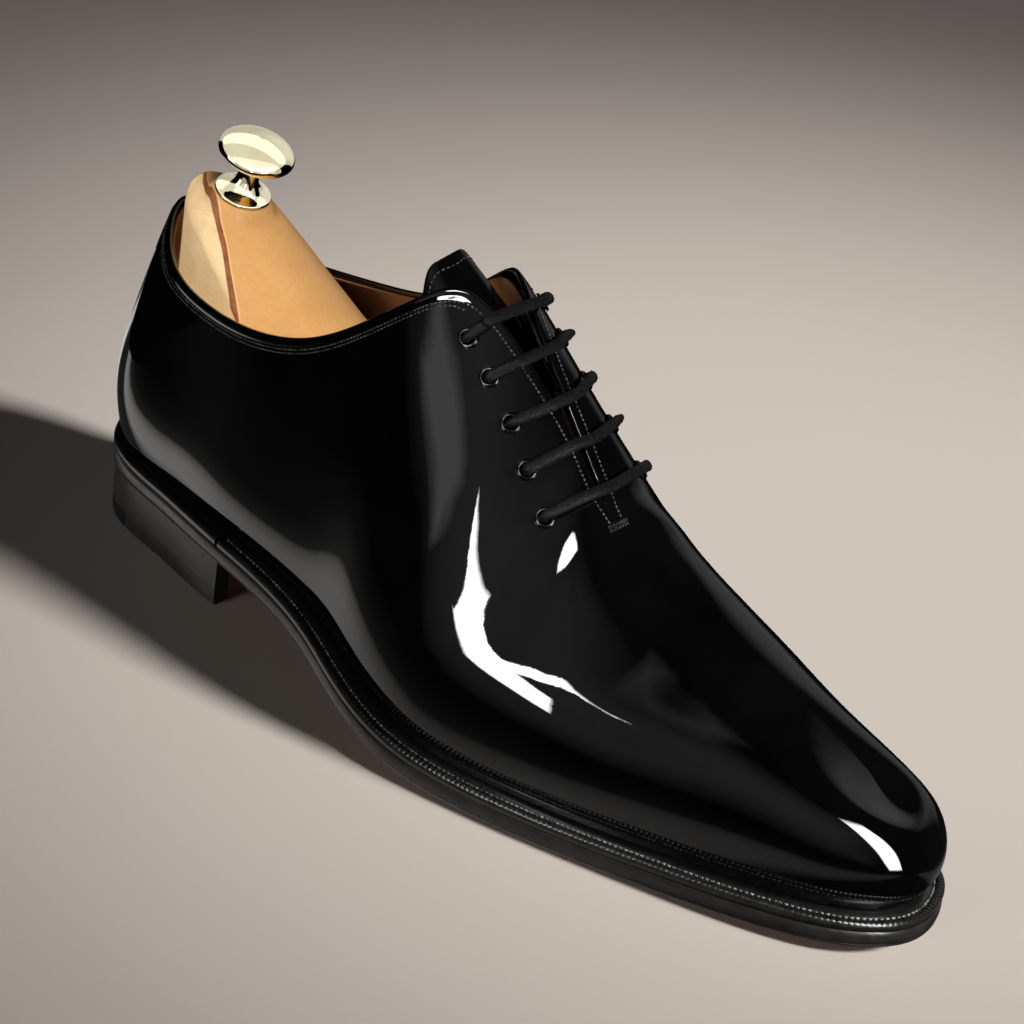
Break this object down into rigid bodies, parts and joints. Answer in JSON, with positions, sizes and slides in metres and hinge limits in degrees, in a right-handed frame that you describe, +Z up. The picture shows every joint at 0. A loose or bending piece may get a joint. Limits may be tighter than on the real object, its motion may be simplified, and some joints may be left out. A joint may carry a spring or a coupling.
{
  "type": "oxford shoe with shoe tree",
  "caption": "Right wholecut oxford in black patent leather on a welted leather sole, laced in straight bars over a hinged wooden shoe tree with a brass knob.",
  "frame": {"origin": "middle of the bounding box, on the ground under the heel and ball", "axes": "+X towards the toe, +Y towards the inner (medial) side, +Z up"},
  "size_m": [0.3055, 0.0982, 0.1267],
  "materials": {
    "black_patent": "black patent, mirror gloss",
    "tan_lining": "smooth tan calf",
    "stiffener_board": "leather board",
    "dark_metal": "black enamelled, worn bright at the rim",
    "waxed_cotton": "fine braid, waxed",
    "black_thread": "waxed thread",
    "welt_leather": "inked and burnished edge",
    "sole_leather": "inked edge, brown underside",
    "heel_leather": "stacked leather, inked and polished",
    "black_rubber": "moulded, matt",
    "insole_leather": "natural vegetable tanned",
    "cork": "pressed cork",
    "spring_steel": "brushed",
    "limewood": "sanded and waxed",
    "polished_brass": "polished pale brass"
  },
  "bodies": {
    "shoe": {"upper_wholecut": "black_patent", "back_strip": "black_patent", "tongue": "black_patent", "quarter_lining": "tan_lining", "vamp_lining": "tan_lining", "tongue_lining": "tan_lining", "sock_liner": "tan_lining", "heel_counter": "stiffener_board", "toe_puff": "stiffener_board", "facing_stay_lateral": "stiffener_board", "facing_stay_medial": "stiffener_board", "eyelet_lateral_1": "dark_metal", "eyelet_lateral_2": "dark_metal", "eyelet_lateral_3": "dark_metal", "eyelet_lateral_4": "dark_metal", "eyelet_lateral_5": "dark_metal", "eyelet_medial_1": "dark_metal", "eyelet_medial_2": "dark_metal", "eyelet_medial_3": "dark_metal", "eyelet_medial_4": "dark_metal", "eyelet_medial_5": "dark_metal", "aglet_lateral": "dark_metal", "aglet_medial": "dark_metal", "lace": "waxed_cotton", "bar_tack": "black_thread", "welt": "welt_leather", "heel_rand": "welt_leather", "outsole": "sole_leather", "heel_lift_1": "heel_leather", "heel_lift_2": "heel_leather", "heel_lift_3": "heel_leather", "heel_lift_4": "heel_leather", "heel_top_piece": "heel_leather", "heel_rubber_tip": "black_rubber", "insole": "insole_leather", "cork_filler": "cork", "shank": "spring_steel", "tree_hinge_plate": "spring_steel", "tree_hinge_pin": "spring_steel", "tree_forepart": "limewood"},
    "tree_heel": {"tree_heel_block": "limewood", "tree_knob": "polished_brass", "tree_knob_screw": "spring_steel"}
  },
  "joints": [
    {"name": "tree_fold", "type": "hinge", "parent": "shoe", "child": "tree_heel", "pos_m": [-0.03385, 0.00542, 0.062], "axis": [0, 1, 0], "range_deg": [0, 30]}
  ]
}
